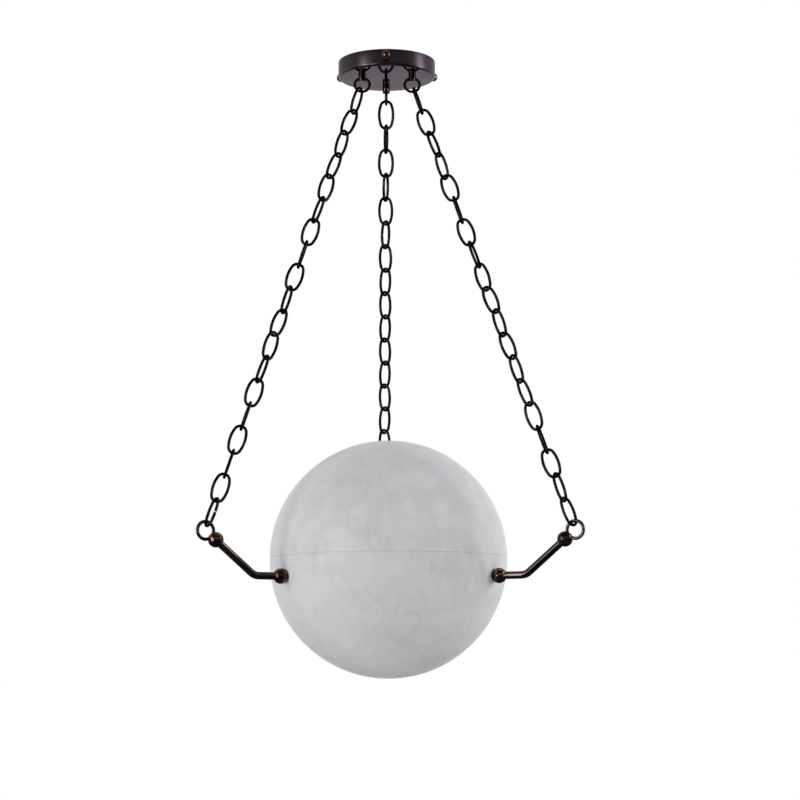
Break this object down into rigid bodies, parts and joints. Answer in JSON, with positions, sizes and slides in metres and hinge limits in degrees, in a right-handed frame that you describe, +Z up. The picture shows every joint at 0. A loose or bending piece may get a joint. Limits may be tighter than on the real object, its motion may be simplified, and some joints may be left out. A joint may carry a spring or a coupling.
{
  "type": "pendant light",
  "caption": "Pendant light with a two-part alabaster globe on bent bronze arms, hung by chains from rings under a round ceiling canopy.",
  "frame": {"origin": "on the ceiling plane, in the middle between the two ceiling screw holes", "axes": "+Z up to the ceiling, -Y towards the front, +X to the right seen from the front"},
  "size_m": [0.4664, 0.4179, 0.791],
  "materials": {
    "canopy_bronze": "satin dark bronze",
    "chain_bronze": "blackened bronze",
    "arm_bronze": "polished dark bronze",
    "ball_bronze": "polished dark bronze",
    "alabaster": "honed, cloudy",
    "plated_steel": "zinc plated",
    "gasket_rubber": "matt",
    "terminal_plastic": "matt",
    "porcelain": "glazed",
    "holder_plastic": "satin",
    "cap_metal": "bright",
    "bulb_glass": "opal"
  },
  "bodies": {
    "canopy": {"canopy": "canopy_bronze", "ceiling_bracket": "plated_steel", "canopy_screws": "ball_bronze", "terminal_block": "terminal_plastic", "post_nuts": "plated_steel", "left_hook_post": "canopy_bronze", "right_hook_post": "canopy_bronze", "back_hook_post": "canopy_bronze"},
    "back_ring": {"back_ring": "chain_bronze"},
    "back_chain": {"back_chain": "chain_bronze"},
    "back_end_link": {"back_end_link": "chain_bronze"},
    "globe": {"lower_bowl": "alabaster", "lamp_spider": "plated_steel", "holder_tube": "plated_steel", "holder_tube_nut": "plated_steel", "lampholder": "porcelain", "lampholder_ring": "holder_plastic", "arm_studs": "plated_steel", "stud_washers": "plated_steel", "stud_nuts": "plated_steel", "left_eye": "arm_bronze", "left_outer_ball": "ball_bronze", "left_arm_rod": "arm_bronze", "left_inner_ball": "ball_bronze", "left_outer_gasket": "gasket_rubber", "left_inner_gasket": "gasket_rubber", "right_eye": "arm_bronze", "right_outer_ball": "ball_bronze", "right_arm_rod": "arm_bronze", "right_inner_ball": "ball_bronze", "right_outer_gasket": "gasket_rubber", "right_inner_gasket": "gasket_rubber", "back_eye": "arm_bronze", "back_outer_ball": "ball_bronze", "back_arm_rod": "arm_bronze", "back_inner_ball": "ball_bronze", "back_outer_gasket": "gasket_rubber", "back_inner_gasket": "gasket_rubber"},
    "left_ring": {"left_ring": "chain_bronze"},
    "left_chain": {"left_chain": "chain_bronze"},
    "right_ring": {"right_ring": "chain_bronze"},
    "right_chain": {"right_chain": "chain_bronze"},
    "dome": {"upper_dome": "alabaster"},
    "bulb": {"bulb_cap": "cap_metal", "bulb_glass": "bulb_glass"}
  },
  "joints": [
    {"name": "sway_side", "type": "hinge", "parent": "canopy", "child": "back_ring", "pos_m": [0, 0.037, -0.02582], "axis": [0, 1, 0], "range_deg": [-4, 4]},
    {"name": "sway_front", "type": "hinge", "parent": "back_ring", "child": "back_chain", "pos_m": [0, 0.037, -0.03537], "axis": [1, 0, 0], "range_deg": [-4, 4]},
    {"name": "back_link_turn", "type": "hinge", "parent": "back_chain", "child": "back_end_link", "pos_m": [0, 0.24215, -0.57694], "axis": [0, 1, 0], "range_deg": [-0.6, 0.6]},
    {"name": "back_eye_turn", "type": "hinge", "parent": "back_end_link", "child": "globe", "pos_m": [0, 0.25613, -0.61386], "axis": [1, 0, 0], "range_deg": [-0.65, 0.65]},
    {"name": "left_ring_swing", "type": "hinge", "parent": "canopy", "child": "left_ring", "pos_m": [-0.03204, -0.0185, -0.02582], "axis": [1, 0, 0], "range_deg": [-3.99, 3.99]},
    {"name": "left_chain_swing", "type": "hinge", "parent": "left_ring", "child": "left_chain", "pos_m": [-0.03204, -0.02025, -0.03521], "axis": [0, 1, 0], "range_deg": [-4.08, 4.08]},
    {"name": "right_ring_swing", "type": "hinge", "parent": "canopy", "child": "right_ring", "pos_m": [0.03204, -0.0185, -0.02582], "axis": [1, 0, 0], "range_deg": [-3.99, 3.99]},
    {"name": "right_chain_swing", "type": "hinge", "parent": "right_ring", "child": "right_chain", "pos_m": [0.03204, -0.02025, -0.03521], "axis": [0, 1, 0], "range_deg": [-4.08, 4.08]},
    {"name": "dome_lift", "type": "slide", "parent": "globe", "child": "dome", "axis": [0, 0, 1], "range_m": [0, 0.2]},
    {"name": "bulb_turn", "type": "hinge", "parent": "globe", "child": "bulb", "pos_m": [0, 0, -0.65916], "axis": [0, 0, 1], "continuous": true}
  ],
  "couplings": [
    {"joint": "back_link_turn", "follows": "sway_side", "ratio": -0.13811},
    {"joint": "back_eye_turn", "follows": "sway_front", "ratio": -0.14909},
    {"joint": "left_ring_swing", "follows": "sway_front", "ratio": 0.98376},
    {"joint": "left_chain_swing", "follows": "sway_side", "ratio": 1.0074},
    {"joint": "right_ring_swing", "follows": "sway_front", "ratio": 0.98376},
    {"joint": "right_chain_swing", "follows": "sway_side", "ratio": 1.0074}
  ]
}
